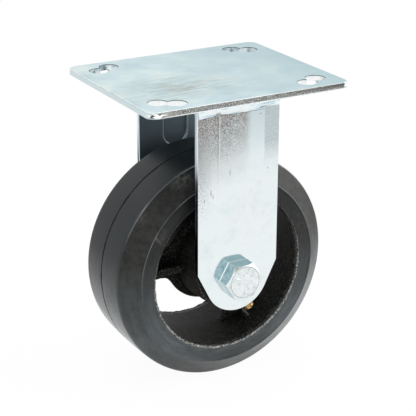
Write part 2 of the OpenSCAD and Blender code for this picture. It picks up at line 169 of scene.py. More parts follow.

# %% [markdown]
# ## Zinc plating on the plate
# The plate is hot-rolled steel, sheared to length and zinc plated with a clear blue
# passivate. The zinc is a thin metal skin that follows the steel: soft cloudy patches,
# faint rolling marks along the strip, and a greenish bloom where the bath dried last. Its
# two long edges are sheared, and the torn steel there shows through as grainy grey, darker
# towards one end. Both near corners were knocked. The hole walls, the rolled edges and the
# corners carry painted reflections, shade and highlights. It could be painted, but a few
# noises in object space need no image and have true sizes.

# %% Zinc-plated sheet for the plate
plate_zinc, add, place = new_material("zinc_plated_rolled_sheet", Metallic=1.0)
at_x, at_y, at_z = add("SeparateXYZ", place).outputs
cloud = add("TexNoise", place, per_mm(24), 5.0, 0.62)
tone = add("ValToRGB", cloud, stops=[(0.32, "#AFC8CF"), (0.5, "#C2D6DA"), (0.68, "#D4DFDC")])
# Bluer and darker towards the +X end
drift = add("MapRange", at_x, -20 * MM, 58 * MM, 0.0, 0.7)
tone = add("Mix RGBA", drift, tone, "#9DB9C0")
along = add("Mapping", place, Scale=(0.06, 1.0, 1.0))
rolled = add("TexNoise", along, per_mm(1.5), 5.0)
rolled_dark = add("MapRange", rolled, 0.35, 0.7, 0.0, 0.16)
tone = add("Mix RGBA", rolled_dark, tone, "#93A9AF")
print(plate_zinc.name, "has its base tone")

# %% Stain, hole walls and sheared edge of the plate
# The greenish stain lies left of the middle, about 70 mm long, and is broken up along the strip
around = add("Mapping", place, Location=(0.62, 0.54, 0), Scale=(26, 38, 1))
blot = add("TexGradient SPHERICAL", around)
slanted = add("Mapping", place, Rotation=(0, 0, 0.12), Scale=(0.16, 1.0, 1.0))
stain = add("TexNoise", slanted, per_mm(3.2), 6.0, 0.8)
stain = add("MapRange", stain, 0.44, 0.66)
bloom = add("Math MULTIPLY", blot.outputs["Fac"], stain)
bloom = add("Math MULTIPLY", bloom, 1.5, use_clamp=True)
tone = add("Mix RGBA", bloom, tone, "#989D92")
# A punched hole's wall is painted: near-white in the two near holes, as a painted reflection
# of bright light, darker and mottled in the two far holes, as painted shade, and dark at the
# rolled top
edge_zone = 3 * MM
lean = add("SeparateXYZ", place.node.outputs["Normal"])
upright = add("Math ABSOLUTE", lean.outputs["Z"])
upright = add("MapRange", upright, 0.97, 0.85)
side = add("Math ABSOLUTE", at_y)
length = add("Math ABSOLUTE", at_x)
inside = add("Math LESS_THAN", side, plate_hi.y - edge_zone)
inside_x = add("Math LESS_THAN", length, plate_hi.x - edge_zone)
hole = add("Math MULTIPLY", inside, inside_x)
wall = add("Math MULTIPLY", hole, upright)
far = add("Math GREATER_THAN", at_y, 0.0)
painted_light_and_wear = add("TexNoise", place, per_mm(5), 3.0)
painted_light_and_wear = add("ValToRGB", painted_light_and_wear, stops=[(0.4, "#B4C9CF"), (0.58, "#F6FAFA")])
painted_light_and_wear = add("Mix RGBA", far, "#FBFDFD", painted_light_and_wear)
rolled_top = add("MapRange", at_z, -0.6 * MM, -0.35 * MM, 0.0, 0.9)
painted_light_and_wear = add("Mix RGBA", rolled_top, painted_light_and_wear, "#516468")
tone = add("Mix RGBA", wall, tone, painted_light_and_wear)
# The two short ends are smooth, under a thin brown-grey line where the shear left the top face
end = add("Math GREATER_THAN", length, plate_hi.x - 0.3 * MM)
end_top = add("MapRange", at_z, -0.55 * MM, -0.4 * MM)
end_line = add("Math MULTIPLY", end, end_top)
end_line = add("Math MULTIPLY", end_line, stain)
pale = add("Math MULTIPLY", end, 0.6)
tone = add("Mix RGBA", pale, tone, "#DCE9EC")
tone = add("Mix RGBA", end_line, tone, "#8B8B86")
# Sheared edge: everything within 0.25 mm of the long sides, torn grey with bright burrs
torn = add("MapRange", side, plate_hi.y - 0.25 * MM, plate_hi.y - 0.12 * MM)
upended = add("Mapping", place, Scale=(1.0, 1.0, 0.7))
grit = add("TexNoise", upended, per_mm(0.65), 6.0, 0.8)
grain = add("ValToRGB", grit,
            stops=[(0.37, "#545553"), (0.47, "#838481"), (0.56, "#ABADAB"), (0.65, "#E8EAE9")])
# A bright line along the bottom of the edge and a thinner one along the top: painted
# highlights on the rolled corners, where the shear also left a burr
level = add("Math ABSOLUTE", add("Math ADD", at_z, 1.5 * MM))
burr_and_highlight = add("MapRange", level, 1.2 * MM, 1.45 * MM)
ragged = add("MapRange", grit, 0.34, 0.44, 0.3, 1.0)
burr_and_highlight = add("Math MULTIPLY", burr_and_highlight, ragged)
grain = add("Mix RGBA", burr_and_highlight, grain, "#F2F6F7")
# The tear is paler over its first ten millimetres, next to the near left corner
start = add("MapRange", at_x, -51 * MM, -42 * MM, 0.6, 0.0)
grain = add("Mix RGBA", start, grain, "#C9C8C2")
# Towards the other end it is darker, most of all in its upper half
dark_end = add("MapRange", at_x, 5 * MM, 50 * MM, 0.0, 0.75)
upper_half = add("MapRange", at_z, -2.4 * MM, -1.3 * MM, 0.25, 1.0)
dark_end = add("Math MULTIPLY", dark_end, upper_half)
grain = add("Mix RGBA", dark_end, grain, "#55524E")
tone = add("Mix RGBA", torn, tone, grain)
# Both near corners were knocked; each gets a painted highlight, white broken by dark streaks
for x, wide, stretch in ((plate_lo.x + 4 * MM, 7 * MM, (0.35, 0.35, 1.0)),
                         (plate_hi.x - 0.8 * MM, 4 * MM, (1.0, 0.6, 0.4))):
    corner_highlight = add("Mapping TEXTURE", place, Location=(x, plate_lo.y + 1.2 * MM, -1.8 * MM),
                Scale=(wide, 5 * MM, 1.8 * MM))
    corner_highlight = add("TexGradient SPHERICAL", corner_highlight)
    corner_highlight = add("MapRange", corner_highlight.outputs["Fac"], 0.15, 0.5)
    highlight_streaks = add("Mapping", place, Scale=stretch)
    highlight_streaks = add("TexNoise", highlight_streaks, per_mm(1.3), 3.0)
    highlight_streaks = add("ValToRGB", highlight_streaks, stops=[(0.44, "#3C4A50"), (0.52, "#FFFFFF")])
    tone = add("Mix RGBA", corner_highlight, tone, highlight_streaks)
# The rolled edges outside the holes get a painted highlight
rounded = add("Attribute", attribute_name="rounded_edge")
painted_edge_highlight = add("Math GREATER_THAN", rounded.outputs["Fac"], hole)
painted_edge_highlight = add("Math MULTIPLY", painted_edge_highlight, 0.5)
tone = add("Mix RGBA", painted_edge_highlight, tone, "#F1F6F7")
matt = add("MapRange", cloud, 0.3, 0.7, 0.3, 0.42)
matt = add("Mix", torn, matt, 0.6)
skin = add("Bump", Height=rolled, Distance=0.02 * MM, Strength=0.5)
tear = add("Math MULTIPLY", torn, 0.9)
skin = add("Bump", Height=grit, Distance=0.35 * MM, Strength=tear, Normal=skin)
connect(plate_zinc, Base_Color=tone, Roughness=matt, Normal=skin)

# %% [markdown]
# ## Zinc plating on the fork
# The fork is bent from the same strip. Where the sheet was stretched and gripped, near the
# top of each leg, the steel's skin opened into a fine grain that stays grey under the zinc,
# and it fades out further down. The zinc is palest low on the leg and is painted greyer under
# the plate, as painted shade. The inner faces are painted far darker, as painted shade and a
# painted reflection of the dark tyre, with a painted highlight on the pocket's outline, and
# the strip's narrow edges were sheared. So three masks sort the surface: which way it faces,
# how far out it lies, and how far it is from the strip's middle. Both legs share one pattern,
# seen from outside.

# %% Zinc-plated strip for the fork
fork_zinc, add, place = new_material("zinc_plated_bent_strip", Metallic=1.0)
at_x, at_y, at_z = add("SeparateXYZ", place).outputs
side = add("Math SIGN", at_y)
right = add("Math MULTIPLY", add("Math MULTIPLY", at_x, side), -1.0)
seen = add("CombineXYZ", X=right, Z=at_z)
# Painted shade: greyer towards the plate, palest low on the leg
painted_shade_under_plate = add("MapRange", at_z, -10 * MM, -52 * MM)
tone = add("ValToRGB", painted_shade_under_plate,
           stops=[(0.05, "#C9D6DA"), (0.33, "#D4E0E3"), (0.62, "#E5EDEF"), (1.0, "#EAF1F2")])
cloud = add("TexNoise", place, per_mm(12), 6.0, 0.68)
cloud_dark = add("MapRange", cloud, 0.5, 0.75, 0.0, 0.5)
tone = add("Mix RGBA", cloud_dark, tone, "#CBDDE2")
# Right of the raised pad the leg is painted greyer and more speckled, as painted shade over
# grain, down to where the pad fades
beside = add("MapRange", right, 15.2 * MM, 15.8 * MM)
upper = add("MapRange", at_z, -40 * MM, -30 * MM, 0.0, 0.65)
shade = add("Math MULTIPLY", beside, upper)
grit = add("TexNoise", place, per_mm(0.6), 3.0, 0.7)
speckle = add("ValToRGB", grit, stops=[(0.4, "#8D999C"), (0.6, "#CAD3D5")])
tone = add("Mix RGBA", shade, tone, speckle)
print(fork_zinc.name, "has its base tone")

# %% Open grain at the top of the legs
grain = add("ValToRGB", grit, stops=[(0.37, "#5C5C5B"), (0.5, "#979593"), (0.63, "#D6D3D1")])
# The grain reaches 62 mm down at the left edge, less further right, and ends near the middle
grain_end = -62 * MM
lean = add("MapRange", right, -22 * MM, 8 * MM, 0.0, 15 * MM)
level = add("Math SUBTRACT", at_z, lean)
fades = add("MapRange SMOOTHSTEP", level, grain_end, -15 * MM)
broken = add("TexNoise", place, per_mm(4), 5.0, 0.7)
wander = add("Math MULTIPLY_ADD", broken, 5 * MM, right)
stops_at = add("MapRange SMOOTHSTEP", wander, 10.5 * MM, 5.5 * MM)
opened = add("Math MULTIPLY", fades, stops_at)
patchy = add("MapRange", broken, 0.3, 0.7, 0.75, 1.1)
opened = add("Math MULTIPLY", opened, patchy, use_clamp=True)
# The grain is a little browner from the middle of the leg to where it stops
brown = add("MapRange", wander, 0.5 * MM, 5 * MM, 0.0, 0.35)
grain = add("Mix RGBA", brown, grain, "#93877F")
tone = add("Mix RGBA", opened, tone, grain)
# Where the pad begins: a painted shadow line, and beside it a painted highlight line on the
# pad's edge
line = add("Math ADD", right, 12.0 * MM)
painted_shadow_line = add("MapRange", line, -0.9 * MM, -0.5 * MM, 0.0, 0.4)
shadow_line_end = add("MapRange", line, -0.3 * MM, 0.0, 1.0, 0.0)
for mask in (shadow_line_end, opened):
    painted_shadow_line = add("Math MULTIPLY", painted_shadow_line, mask)
tone = add("Mix RGBA", painted_shadow_line, tone, "#5F6668")
light = add("MapRange", line, -0.1 * MM, 0.35 * MM, 0.0, 0.8)
light_end = add("MapRange", line, 0.35 * MM, 0.8 * MM, 1.0, 0.0)
above = add("MapRange", at_z, -42 * MM, -30 * MM)
for mask in (light_end, above):
    light = add("Math MULTIPLY", light, mask)
tone = add("Mix RGBA", light, tone, "#DCE2E3")
print("the grain fades out at z", round(grain_end / MM), "mm")

# %% Scratches and warm fingermarks on the legs
for x, z, wide, high, much in (
        (-20.3, -56, 0.8, 1.5, 0.8), (-16.4, -52.5, 0.55, 3.2, 0.85),
        (-15.2, -54.5, 0.5, 2.4, 0.75), (-5.3, -43, 1.2, 2.8, 0.35),
        (17.6, -44.3, 0.8, 1.0, 0.6), (12.4, -14, 1.4, 0.5, 0.6)):
    spread = add("Mapping TEXTURE", seen, Location=(x * MM, 0, z * MM),
                 Scale=(wide * MM, 1, high * MM))
    mark = add("TexGradient SPHERICAL", spread)
    mark = add("Math MULTIPLY", mark.outputs["Fac"], grit)
    mark = add("MapRange", mark, 0.1, 0.45, 0.0, much)
    tone = add("Mix RGBA", mark, tone, "#6F7678")
around = add("Mapping TEXTURE", seen, Location=(9 * MM, 0, -64 * MM), Scale=(20 * MM, 1, 30 * MM))
warm = add("TexGradient SPHERICAL", around)
blotch = add("TexNoise", place, per_mm(4), 6.0, 0.8)
blotch = add("MapRange", blotch, 0.48, 0.72, 0.0, 0.5)
warm = add("Math MULTIPLY", warm.outputs["Fac"], blotch)
tone = add("Mix RGBA", warm, tone, "#DDD6D0")
# Loose specks go on down the left edge, below the grain
strip = add("MapRange", right, -15.5 * MM, -21 * MM)
lower_end = add("MapRange", at_z, -72 * MM, -46 * MM)
upper_end = add("MapRange", at_z, -22 * MM, -40 * MM, 0.35, 1.0)
specks = add("MapRange", grit, 0.51, 0.58, 0.0, 0.75)
for mask in (strip, lower_end, upper_end):
    specks = add("Math MULTIPLY", specks, mask)
tone = add("Mix RGBA", specks, tone, "#7A8082")
print("six scratches, loose specks and one warm patch")

# %% Inner faces and sheared edges of the fork
facing = add("SeparateXYZ", place.node.outputs["Normal"])
flat_on = add("Math ABSOLUTE", facing.outputs["Y"])
flat_on = add("MapRange", flat_on, 0.8, 0.96)
out_y = add("Math ABSOLUTE", at_y)
inward = add("Math LESS_THAN", out_y, leg_in + strap / 2 + 0.1 * MM)
inner = add("Math MULTIPLY", inward, flat_on)
# Painted shade and painted reflection of the dark tyre: the inner faces are painted far darker
tone = add("Mix RGBA", inner, tone, "#68767D")
# The pocket's outline, a straight-sided U, gets a painted highlight on the inner face,
# strongest at its lower corners
from_mid = add("Math SUBTRACT", right, 1.7 * MM)
from_bend = add("Math ADD", at_z, 40.1 * MM)
from_bend = add("Math MINIMUM", from_bend, 0.0)
reach = add("VectorMath LENGTH", add("CombineXYZ", X=from_mid, Z=from_bend))
reach = add("Math ABSOLUTE", add("Math SUBTRACT", reach, 7.5 * MM))
outline = add("MapRange", reach, 0.6 * MM, 0.2 * MM)
curved = add("MapRange", at_z, -38 * MM, -43 * MM, 0.45, 1.0)
for mask in (curved, inward):
    outline = add("Math MULTIPLY", outline, mask)
tone = add("Mix RGBA", outline, tone, "#E4EEF1")
# Across the narrow edge, low on the leg: a pale burnished band on the inner half, dark torn
# steel on the outer half. Higher up it is pale all over, and chipped.
across = add("Math ABSOLUTE", at_x)
edge = add("MapRange", flat_on, 0.0, 1.0, 1.0, 0.0)
below = add("Math LESS_THAN", at_z, -12 * MM)
rim = add("Math GREATER_THAN", across, 17 * MM)
edge = add("Math MULTIPLY", edge, below)
sideways = add("Math ABSOLUTE", facing.outputs["X"])
sideways = add("MapRange", sideways, 0.5, 0.8)
edge = add("Math MAXIMUM", edge, sideways)
edge = add("Math MULTIPLY", edge, rim)
band = add("MapRange", out_y, leg_in, leg_out)
# The near-white stop next to the outer face is a painted highlight on the rounded corner
torn = add("ValToRGB", band,
           stops=[(0.05, "#5E7280"), (0.2, "#C3D9E6"), (0.36, "#B3CAD8"), (0.46, "#25313B"),
                  (0.85, "#2C3943"), (0.93, "#F2F7F8")])
lower = add("MapRange", at_z, -34 * MM, -52 * MM)
upper_edge = add("ValToRGB", band, stops=[(0.3, "#BCCDD7"), (0.5, "#D6E2E8"), (0.7, "#FBFDFD")])
chipped = add("MapRange", grit, 0.5, 0.62, 0.0, 0.6)
upper_edge = add("Mix RGBA", chipped, upper_edge, "#9FADB3")
torn = add("Mix RGBA", lower, upper_edge, torn)
tone = add("Mix RGBA", edge, tone, torn)
# Shiniest round the bolt, where the head's image shows in the leg
matt = add("MapRange", at_z, -82 * MM, -60 * MM, 0.09, 0.24)
matt = add("Mix", opened, matt, 0.5)
matt = add("Mix", inner, matt, 0.55)
deep = add("MapRange", opened, 0.0, 1.0, 0.05, 0.5)
skin = add("Bump", Height=grit, Distance=0.08 * MM, Strength=deep)
skin = add("Bump", Height=cloud, Distance=0.12 * MM, Strength=0.5, Normal=skin)
connect(fork_zinc, Base_Color=tone, Roughness=matt, Normal=skin)

# %% [markdown]
# ## Zinc on the weld, the bolt and the nut
# The whole fork was plated after welding, so the weld metal is bright as well, only rounder.
# The bolt and nut are plated in a barrel with a deeper blue passivate. Their end faces are
# painted bright and their flats darker blue-grey, as painted reflections, with painted
# highlights on their edges.

# %% Weld and fastener finishes
weld_zinc, add, place = new_material("zinc_plated_weld_metal", Metallic=1.0)
along = add("Mapping", place, Scale=(0.12, 1.0, 1.0))
patch = add("TexNoise", along, per_mm(1.7), 4.0, 0.6)
tone = add("ValToRGB", patch, stops=[(0.34, "#9FCFE0"), (0.41, "#D3E9F0"), (0.5, "#F4F9FA")])
matt = add("MapRange", patch, 0.3, 0.7, 0.5, 0.38)
spatter = add("TexNoise", place, per_mm(1.4), 3.0)
skin = add("Bump", Height=spatter, Distance=0.1 * MM, Strength=0.5)
connect(weld_zinc, Base_Color=tone, Roughness=matt, Normal=skin)

fastener_zinc, add, place = new_material("barrel_plated_zinc", Metallic=1.0)
at_x, at_y, at_z = add("SeparateXYZ", place).outputs
drawn = add("Mapping", place, Scale=(1.0, 0.12, 1.0))
lines = add("TexNoise", drawn, per_mm(0.8), 3.0)
patch = add("TexNoise", place, per_mm(3.2), 5.0, 0.7)
patch = add("Math MULTIPLY_ADD", lines, 0.4, patch)
# The flats are painted darker blue-grey and the end faces brighter, as painted reflections
flat = add("ValToRGB", patch, stops=[(0.5, "#7A949B"), (0.72, "#97B0B7"), (0.92, "#B7CACF")])
face = add("ValToRGB", patch, stops=[(0.48, "#B9C3C5"), (0.62, "#DFE6E7"), (0.85, "#F3F6F6")])
lean = add("SeparateXYZ", place.node.outputs["Normal"])
ended = add("Math ABSOLUTE", lean.outputs["Y"])
ended = add("MapRange", ended, 0.2, 0.4)
# Flats that look down at the floor or up are painted paler, as painted reflection, and a
# painted highlight line marks the head's foot
under = add("MapRange", lean.outputs["Z"], -0.2, -0.45, 0.0, 0.7)
tone = add("Mix RGBA", under, flat, "#D3E4E8")
upper = add("MapRange", lean.outputs["Z"], 0.6, 0.85, 0.0, 0.8)
tone = add("Mix RGBA", upper, tone, "#BEE2EA")
foot = add("Math ABSOLUTE", at_y)
foot = add("MapRange", foot, leg_out + 0.55 * MM, leg_out + 0.35 * MM)
tone = add("Mix RGBA", foot, tone, "#F2F8F9")
tone = add("Mix RGBA", ended, tone, face)
# A grey line rings the face where the chamfer begins
height = add("Math SUBTRACT", at_z, axle.z)
radius = add("VectorMath LENGTH", add("CombineXYZ", X=at_x, Z=height))
ring = add("Math ABSOLUTE", add("Math SUBTRACT", radius, 8.6 * MM))
ring = add("MapRange", ring, 0.35 * MM, 0.1 * MM, 0.0, 0.5)
ring = add("Math MULTIPLY", ring, ended)
tone = add("Mix RGBA", ring, tone, "#7C878A")
# The rolled edges between the flats get a painted highlight
rounded = add("Attribute", attribute_name="rounded_edge")
painted_edge_highlight = add("Math MULTIPLY", rounded.outputs["Fac"], 0.9)
tone = add("Mix RGBA", painted_edge_highlight, tone, "#EDF4F5")
matt = add("MapRange", patch, 0.5, 0.9, 0.25, 0.36)
skin = add("Bump", Height=lines, Distance=0.05 * MM, Strength=0.5)
connect(fastener_zinc, Base_Color=tone, Roughness=matt, Normal=skin)

# %% [markdown]
# ## Black paint on sand-cast iron
# A sand mould leaves a skin of grains about a millimetre wide, and one coat of black paint
# fills only the finest of them. The paint is thin on sharp edges, where grey iron and dust
# glint. Pointiness tells how sharply the dense cast mesh turns, so it finds those edges. One
# rib is rubbed bare along its front, and that line carries a painted highlight as well.

# %% Painted cast iron
iron, add, place = new_material("black_painted_cast_iron", IOR=1.5, Specular_IOR_Level=0.16)
sand = add("TexNoise", place, per_mm(0.9), 6.0, 0.8)
lumps = add("TexNoise", place, per_mm(6), 3.0)
tone = add("ValToRGB", sand, stops=[(0.46, "#040404"), (0.52, "#151716"), (0.59, "#565650")])
sharp = add("NewGeometry").outputs["Pointiness"]
edge = add("MapRange", sharp, 0.51, 0.55)
speck = add("MapRange", sand, 0.5, 0.6)
edge = add("Math MULTIPLY", edge, speck, use_clamp=True)
tone = add("Mix RGBA", edge, tone, "#8A867D")
# Along the front of the rib below the grease fitting the paint is rubbed off, and the line
# is painted lighter still, as a painted highlight where the crest catches the light
rubbed_line_and_highlight = add("Mapping TEXTURE", place, Location=(19.7 * MM, -11.0 * MM, -137.8 * MM),
              Rotation=(0, math.radians(49), 0), Scale=(4.2 * MM, 1.6 * MM, 0.6 * MM))
rubbed_line_and_highlight = add("TexGradient SPHERICAL", rubbed_line_and_highlight)
rubbed_line_and_highlight = add("MapRange", rubbed_line_and_highlight.outputs["Fac"], 0.0, 0.4, 0.0, 0.8)
tone = add("Mix RGBA", rubbed_line_and_highlight, tone, "#8D8C88")
matt = add("MapRange", sand, 0.35, 0.65, 0.42, 0.75)
skin = add("Bump", Height=lumps, Distance=0.4 * MM, Strength=0.3)
skin = add("Bump", Height=sand, Distance=0.45 * MM, Strength=0.9, Normal=skin)
connect(iron, Base_Color=tone, Roughness=matt, Normal=skin)

# %% [markdown]
# ## Moulded black rubber
# The tyre is moulded on to the iron rim in a two-part mould. Carbon black makes it a very
# dark grey. The tread is painted a little lighter and bluer, as a painted sheen, and the two
# bevels darker, as painted shade, and browner. The corners carry painted highlights, stronger
# higher up, over some rubbing. Handling has left dust on one bevel, and the right bevel has a
# light patch of dust and painted sheen. The lower half is painted lighter in streaks, as
# painted light from the floor. Where the mould's halves met, a dark nicked line runs round the
# crown. All of that depends on the distance from the middle plane, which is |Y|, on the height
# over the axle, and on noise.

# %% Rubber for the tyre
tyre_half = tyre_hi.y
rubber, add, place = new_material("moulded_black_rubber", IOR=1.5, Specular_IOR_Level=0.34)
at_x, at_y, at_z = add("SeparateXYZ", place).outputs
middle = add("Math ABSOLUTE", at_y)
haze = add("TexNoise", place, per_mm(20), 6.0, 0.68)
# Lighter and darker copies of one rubber, as painted light and shade: the tread is painted lighter
# and bluer, as a painted sheen, and the bevels darker, as painted shade
tread = add("ValToRGB", haze, stops=[(0.32, "#13181B"), (0.5, "#1A2024"), (0.72, "#252D31")])
bevel = add("ValToRGB", haze, stops=[(0.32, "#090B0A"), (0.5, "#0F1110"), (0.72, "#1A1E1D")])
flank = add("ValToRGB", haze, stops=[(0.32, "#101313"), (0.5, "#171A1B"), (0.72, "#222729")])
mottle = add("TexNoise", place, per_mm(4), 6.0, 0.75)
mottle = add("MapRange", mottle, 0.42, 0.56)
bevel = add("Mix RGBA", mottle, bevel, "#2B2C27")
past_tread = add("MapRange", middle, 17.8 * MM, 18.4 * MM)
past_bevel = add("MapRange", middle, tyre_half - 0.6 * MM, tyre_half - 0.2 * MM)
tone = add("Mix RGBA", past_tread, tread, bevel)
tone = add("Mix RGBA", past_bevel, tone, flank)
specks = add("TexNoise", place, per_mm(0.9), 4.0, 0.8)
dust = add("MapRange", specks, 0.6, 0.8, 0.0, 0.35)
tone = add("Mix RGBA", dust, tone, "#5C5D5B")
print(rubber.name, "has three tones, for tread, bevel and side")

# %% Painted highlights on the corners, dust, painted floor light and the parting line
# Painted highlights along the tread's edge and the bevel's outer edge, stronger higher up, over
# some rubbing; noise breaks them up
painted_light_and_wear = add("TexNoise", place, per_mm(26), 5.0, 0.75)
painted_light_and_wear = add("MapRange", painted_light_and_wear, 0.4, 0.56, 0.35, 1.0)
from_axle = add("Math SUBTRACT", at_z, axle.z)
radius = add("VectorMath LENGTH", add("CombineXYZ", X=at_x, Z=from_axle))
high_up = add("MapRange", from_axle, 20 * MM, 40 * MM, 0.1, 1.0)
halfway = add("MapRange", from_axle, -10 * MM, 30 * MM, 0.15, 0.65)
for corner, wide, where in ((62.7 * MM, 0.35 * MM, high_up), (52.5 * MM, 0.4 * MM, halfway)):
    off = add("Math ABSOLUTE", add("Math SUBTRACT", radius, corner))
    ridge = add("MapRange", off, wide, 0.0)
    for mask in (painted_light_and_wear, where):
        ridge = add("Math MULTIPLY", ridge, mask)
    tone = add("Mix RGBA", ridge, tone, "#A3A6A4")
# Dust on the near bevel, high on the left, rubbed spots lower down, a long scuff, and a large
# light patch on the right bevel, of dust and painted sheen
for x, y, z, size, thin, turn, much in (
        (-25, -20, -47, 9, 9, 0, 0.85), (-49, -20, -65, 4, 4, 0, 0.5),
        (-41, -25.5, -74, 6, 4, 0, 0.45), (-42.5, -25.4, -76.7, 5, 0.8, 54, 0.9),
        # This large patch is mostly painted sheen, over some dust
        (47, -22, -84, 16, 8, 60, 0.6)):
    spread = add("Mapping TEXTURE", place, Location=(x * MM, y * MM, z * MM),
                 Rotation=(0, math.radians(turn), 0), Scale=(size * MM, 5 * MM, thin * MM))
    spot = add("TexGradient SPHERICAL", spread)
    loose = add("TexNoise", place, per_mm(2.4), 5.0, 0.75)
    loose = add("MapRange", loose, 0.42, 0.68, 0.0, much)
    spot = add("Math MULTIPLY", spot.outputs["Fac"], loose)
    tone = add("Mix RGBA", spot, tone, "#7F827E")
# The lower half is painted lighter, as painted light from the floor
low = add("MapRange", from_axle, 15 * MM, -32 * MM, 0.0, 0.9)
# The painted floor light lies in streaks that follow the turning tyre
turned = add("Math ARCTAN2", at_x, add("Math MULTIPLY", from_axle, -1.0))
turned = add("Math MULTIPLY", turned, 9 * MM)
ringwise = add("CombineXYZ", X=radius, Y=at_y, Z=turned)
streaks = add("TexNoise", ringwise, per_mm(3), 6.0, 0.75)
streaks = add("MapRange", streaks, 0.36, 0.64, 0.45, 1.1)
low = add("Math MULTIPLY", low, streaks, use_clamp=True)
# It is weaker at the very bottom
less_at_bottom = add("MapRange", from_axle, -36 * MM, -58 * MM, 1.0, 0.35)
low = add("Math MULTIPLY", low, less_at_bottom)
tone = add("Mix RGBA", low, tone, "#656C6F")
nick = add("TexNoise", place, per_mm(5), 5.0, 0.85)
reach = add("MapRange", nick, 0.5, 0.72, 0.55 * MM, 1.4 * MM)
gap = add("Math SUBTRACT", reach, middle)
seam = add("MapRange", gap, 0.0, 0.15 * MM, 0.0, 0.95)
tone = add("Mix RGBA", seam, tone, "#060708")
# The upper half is matt, and the lower half, painted lighter, has a low gloss
matt = add("MapRange", low, 0.0, 0.5, 0.42, 0.14)
uneven = add("MapRange", haze, 0.3, 0.7, 0.0, 0.12)
matt = add("Math ADD", matt, uneven)
matt = add("Mix", seam, matt, 0.9)
pores = add("TexNoise", place, per_mm(1.1), 5.0, 0.7)
skin = add("Bump", Height=haze, Distance=0.5 * MM, Strength=0.25)
skin = add("Bump", Height=pores, Distance=0.06 * MM, Strength=0.6, Normal=skin)
connect(rubber, Base_Color=tone, Roughness=matt, Normal=skin)

# %% Torn flash rubber
flash_rubber, add, place = new_material("torn_mould_flash", IOR=1.5, Roughness=0.7)
chips = add("TexNoise", place, per_mm(0.9), 5.0, 0.85)
tone = add("ValToRGB", chips, stops=[(0.42, "#1B1C1B"), (0.5, "#7F807C"), (0.57, "#E6E7E3")])
at_z = add("SeparateXYZ", place).outputs["Z"]
# Painted shade: the upper part of the flash is painted dark, and its light chips show only lower
# down
low = add("MapRange", at_z, axle.z + 16 * MM, axle.z - 12 * MM, 0.9, 0.0)
tone = add("Mix RGBA", low, tone, "#1B1C1B")
skin = add("Bump", Height=chips, Distance=0.3 * MM, Strength=0.9)
connect(flash_rubber, Base_Color=tone, Normal=skin)

# %% [markdown]
# ## Small finishes
# The grease fitting is turned brass, the ring in the nut is natural nylon, and the bearing's
# steel is ground bright where it runs and wears a film of grease, which a clear coat shows.

# %% Brass, nylon and bearing steel
brass, add, place = new_material("turned_brass", Metallic=1.0)
patch = add("TexNoise", place, per_mm(1.5), 4.0)
tone = add("ValToRGB", patch, stops=[(0.38, "#5A4622"), (0.52, "#A88447"), (0.66, "#DDC898")])
matt = add("MapRange", patch, 0.3, 0.7, 0.25, 0.4)
connect(brass, Base_Color=tone, Roughness=matt)

nylon, add, place = new_material("natural_nylon", IOR=1.53, Subsurface_Weight=0.2,
                                 Subsurface_Scale=0.001)
patch = add("TexNoise", place, per_mm(2.5), 3.0)
tone = add("ValToRGB", patch, stops=[(0.35, "#D8D7C4"), (0.65, "#ECEBDC")])
matt = add("MapRange", patch, 0.0, 1.0, 0.35, 0.5)
connect(nylon, Base_Color=tone, Roughness=matt)

ground_steel, add, place = new_material("greased_ground_steel", Metallic=1.0, Coat_Weight=0.5,
                                        Coat_Roughness=0.12)
rings = add("Mapping", place, Scale=(0.2, 1.0, 0.2))
grind = add("TexNoise", rings, per_mm(0.4), 3.0)
film = add("TexNoise", place, per_mm(5), 4.0)
tone = add("ValToRGB", film, stops=[(0.38, "#8A7E68"), (0.56, "#A9ADAF"), (0.7, "#C2C6C8")])
matt = add("MapRange", grind, 0.0, 1.0, 0.2, 0.38)
skin = add("Bump", Height=grind, Distance=0.02 * MM, Strength=0.4)
connect(ground_steel, Base_Color=tone, Roughness=matt, Normal=skin)

washer_steel, add, place = new_material("hardened_pressed_steel", Metallic=1.0)
scale_marks = add("TexNoise", place, per_mm(3), 5.0, 0.7)
tone = add("ValToRGB", scale_marks, stops=[(0.35, "#3B3C3C"), (0.6, "#5E6062"), (0.75, "#7E8183")])
matt = add("MapRange", scale_marks, 0.0, 1.0, 0.35, 0.55)
skin = add("Bump", Height=scale_marks, Distance=0.05 * MM, Strength=0.4)
connect(washer_steel, Base_Color=tone, Roughness=matt, Normal=skin)

# %% [markdown]
# ## CAD nodes that stay
# The bearing's parts, the nylon ring and the fitting's ball already have their true shape.
# They keep their mesh and only take the better finish.

# %% Give the kept nodes their finish
kept = {"nut_insert": nylon, "bearing_sleeve": ground_steel, "thrust_washer_near": washer_steel,
        "thrust_washer_far": washer_steel, "roller_cage": washer_steel, "check_ball": ground_steel}
kept.update({f"roller_{i}": ground_steel for i in range(1, 9)})
for node, finish in kept.items():
    for held in frame["nodes"][node].material_slots:
        held.material = finish
print(len(kept), "CAD nodes keep their shape")

# %% [markdown]
# ## From a CAD node to a piece with worn edges
# Sheared steel has no razor edges: each is rolled over by a few tenths of a millimetre, and
# that narrow round catches the light. The CAD mesh comes as loose triangles, so a copy is
# merged, its flat triangles are dissolved into whole faces, and the sharp edges are bevelled.
# The bevel's faces carry an attribute, rounded_edge, so that a finish can paint a highlight
# there. A Weighted Normal modifier keeps the large flat faces flat in the shading.

# %% Helpers that copy, round and finish a piece
def merged_copy(node):
    """A bmesh of a CAD node with its loose triangles joined."""
    bm = bmesh.new()
    bm.from_mesh(frame["nodes"][node].data)
    bmesh.ops.remove_doubles(bm, verts=bm.verts, dist=0.002 * MM)
    return bm


def whole_faces(bm):
    """Dissolves flat triangles into whole faces."""
    bmesh.ops.dissolve_limit(bm, angle_limit=math.radians(0.6), verts=bm.verts, edges=bm.edges)


